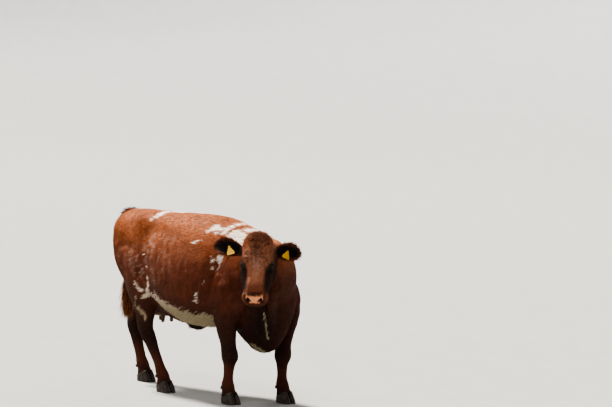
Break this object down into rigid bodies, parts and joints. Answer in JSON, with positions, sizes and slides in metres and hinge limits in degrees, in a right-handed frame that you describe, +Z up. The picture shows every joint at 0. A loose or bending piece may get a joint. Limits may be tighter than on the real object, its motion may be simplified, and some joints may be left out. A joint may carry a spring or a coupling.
{
  "type": "standing cow",
  "caption": "Life-size polled beef cow, standing on four hooves with its head turned back to its right, with ear tags, udder and hanging tail.",
  "frame": {"origin": "middle of the bounding box, on the floor under the hooves", "axes": "+X the way the body faces, +Y the cow's left, +Z up"},
  "size_m": [1.8636, 0.9272, 1.3585],
  "materials": {
    "red_coat": "matt short fur",
    "dark_coat": "matt short fur",
    "udder_skin": "satin skin",
    "hoof_horn": "satin horn",
    "eyeball": "wet gloss",
    "yellow_tag": "satin"
  },
  "bodies": {
    "root": {"trunk": "red_coat", "neck": "red_coat", "head": "red_coat", "eye_right": "eyeball", "eye_left": "eyeball", "ear_right": "dark_coat", "ear_left": "dark_coat", "ear_tag_right": "yellow_tag", "ear_tag_left": "yellow_tag", "fore_right_leg": "red_coat", "fore_right_shank": "dark_coat", "fore_right_claw_outer": "hoof_horn", "fore_right_claw_inner": "hoof_horn", "fore_right_dewclaw_outer": "hoof_horn", "fore_right_dewclaw_inner": "hoof_horn", "fore_left_leg": "red_coat", "fore_left_shank": "dark_coat", "fore_left_claw_outer": "hoof_horn", "fore_left_claw_inner": "hoof_horn", "fore_left_dewclaw_outer": "hoof_horn", "fore_left_dewclaw_inner": "hoof_horn", "hind_right_leg": "red_coat", "hind_right_shank": "dark_coat", "hind_right_claw_outer": "hoof_horn", "hind_right_claw_inner": "hoof_horn", "hind_right_dewclaw_outer": "hoof_horn", "hind_right_dewclaw_inner": "hoof_horn", "hind_left_leg": "red_coat", "hind_left_shank": "dark_coat", "hind_left_claw_outer": "hoof_horn", "hind_left_claw_inner": "hoof_horn", "hind_left_dewclaw_outer": "hoof_horn", "hind_left_dewclaw_inner": "hoof_horn", "udder": "udder_skin", "tail": "red_coat", "tail_switch": "dark_coat"}
  },
  "joints": []
}
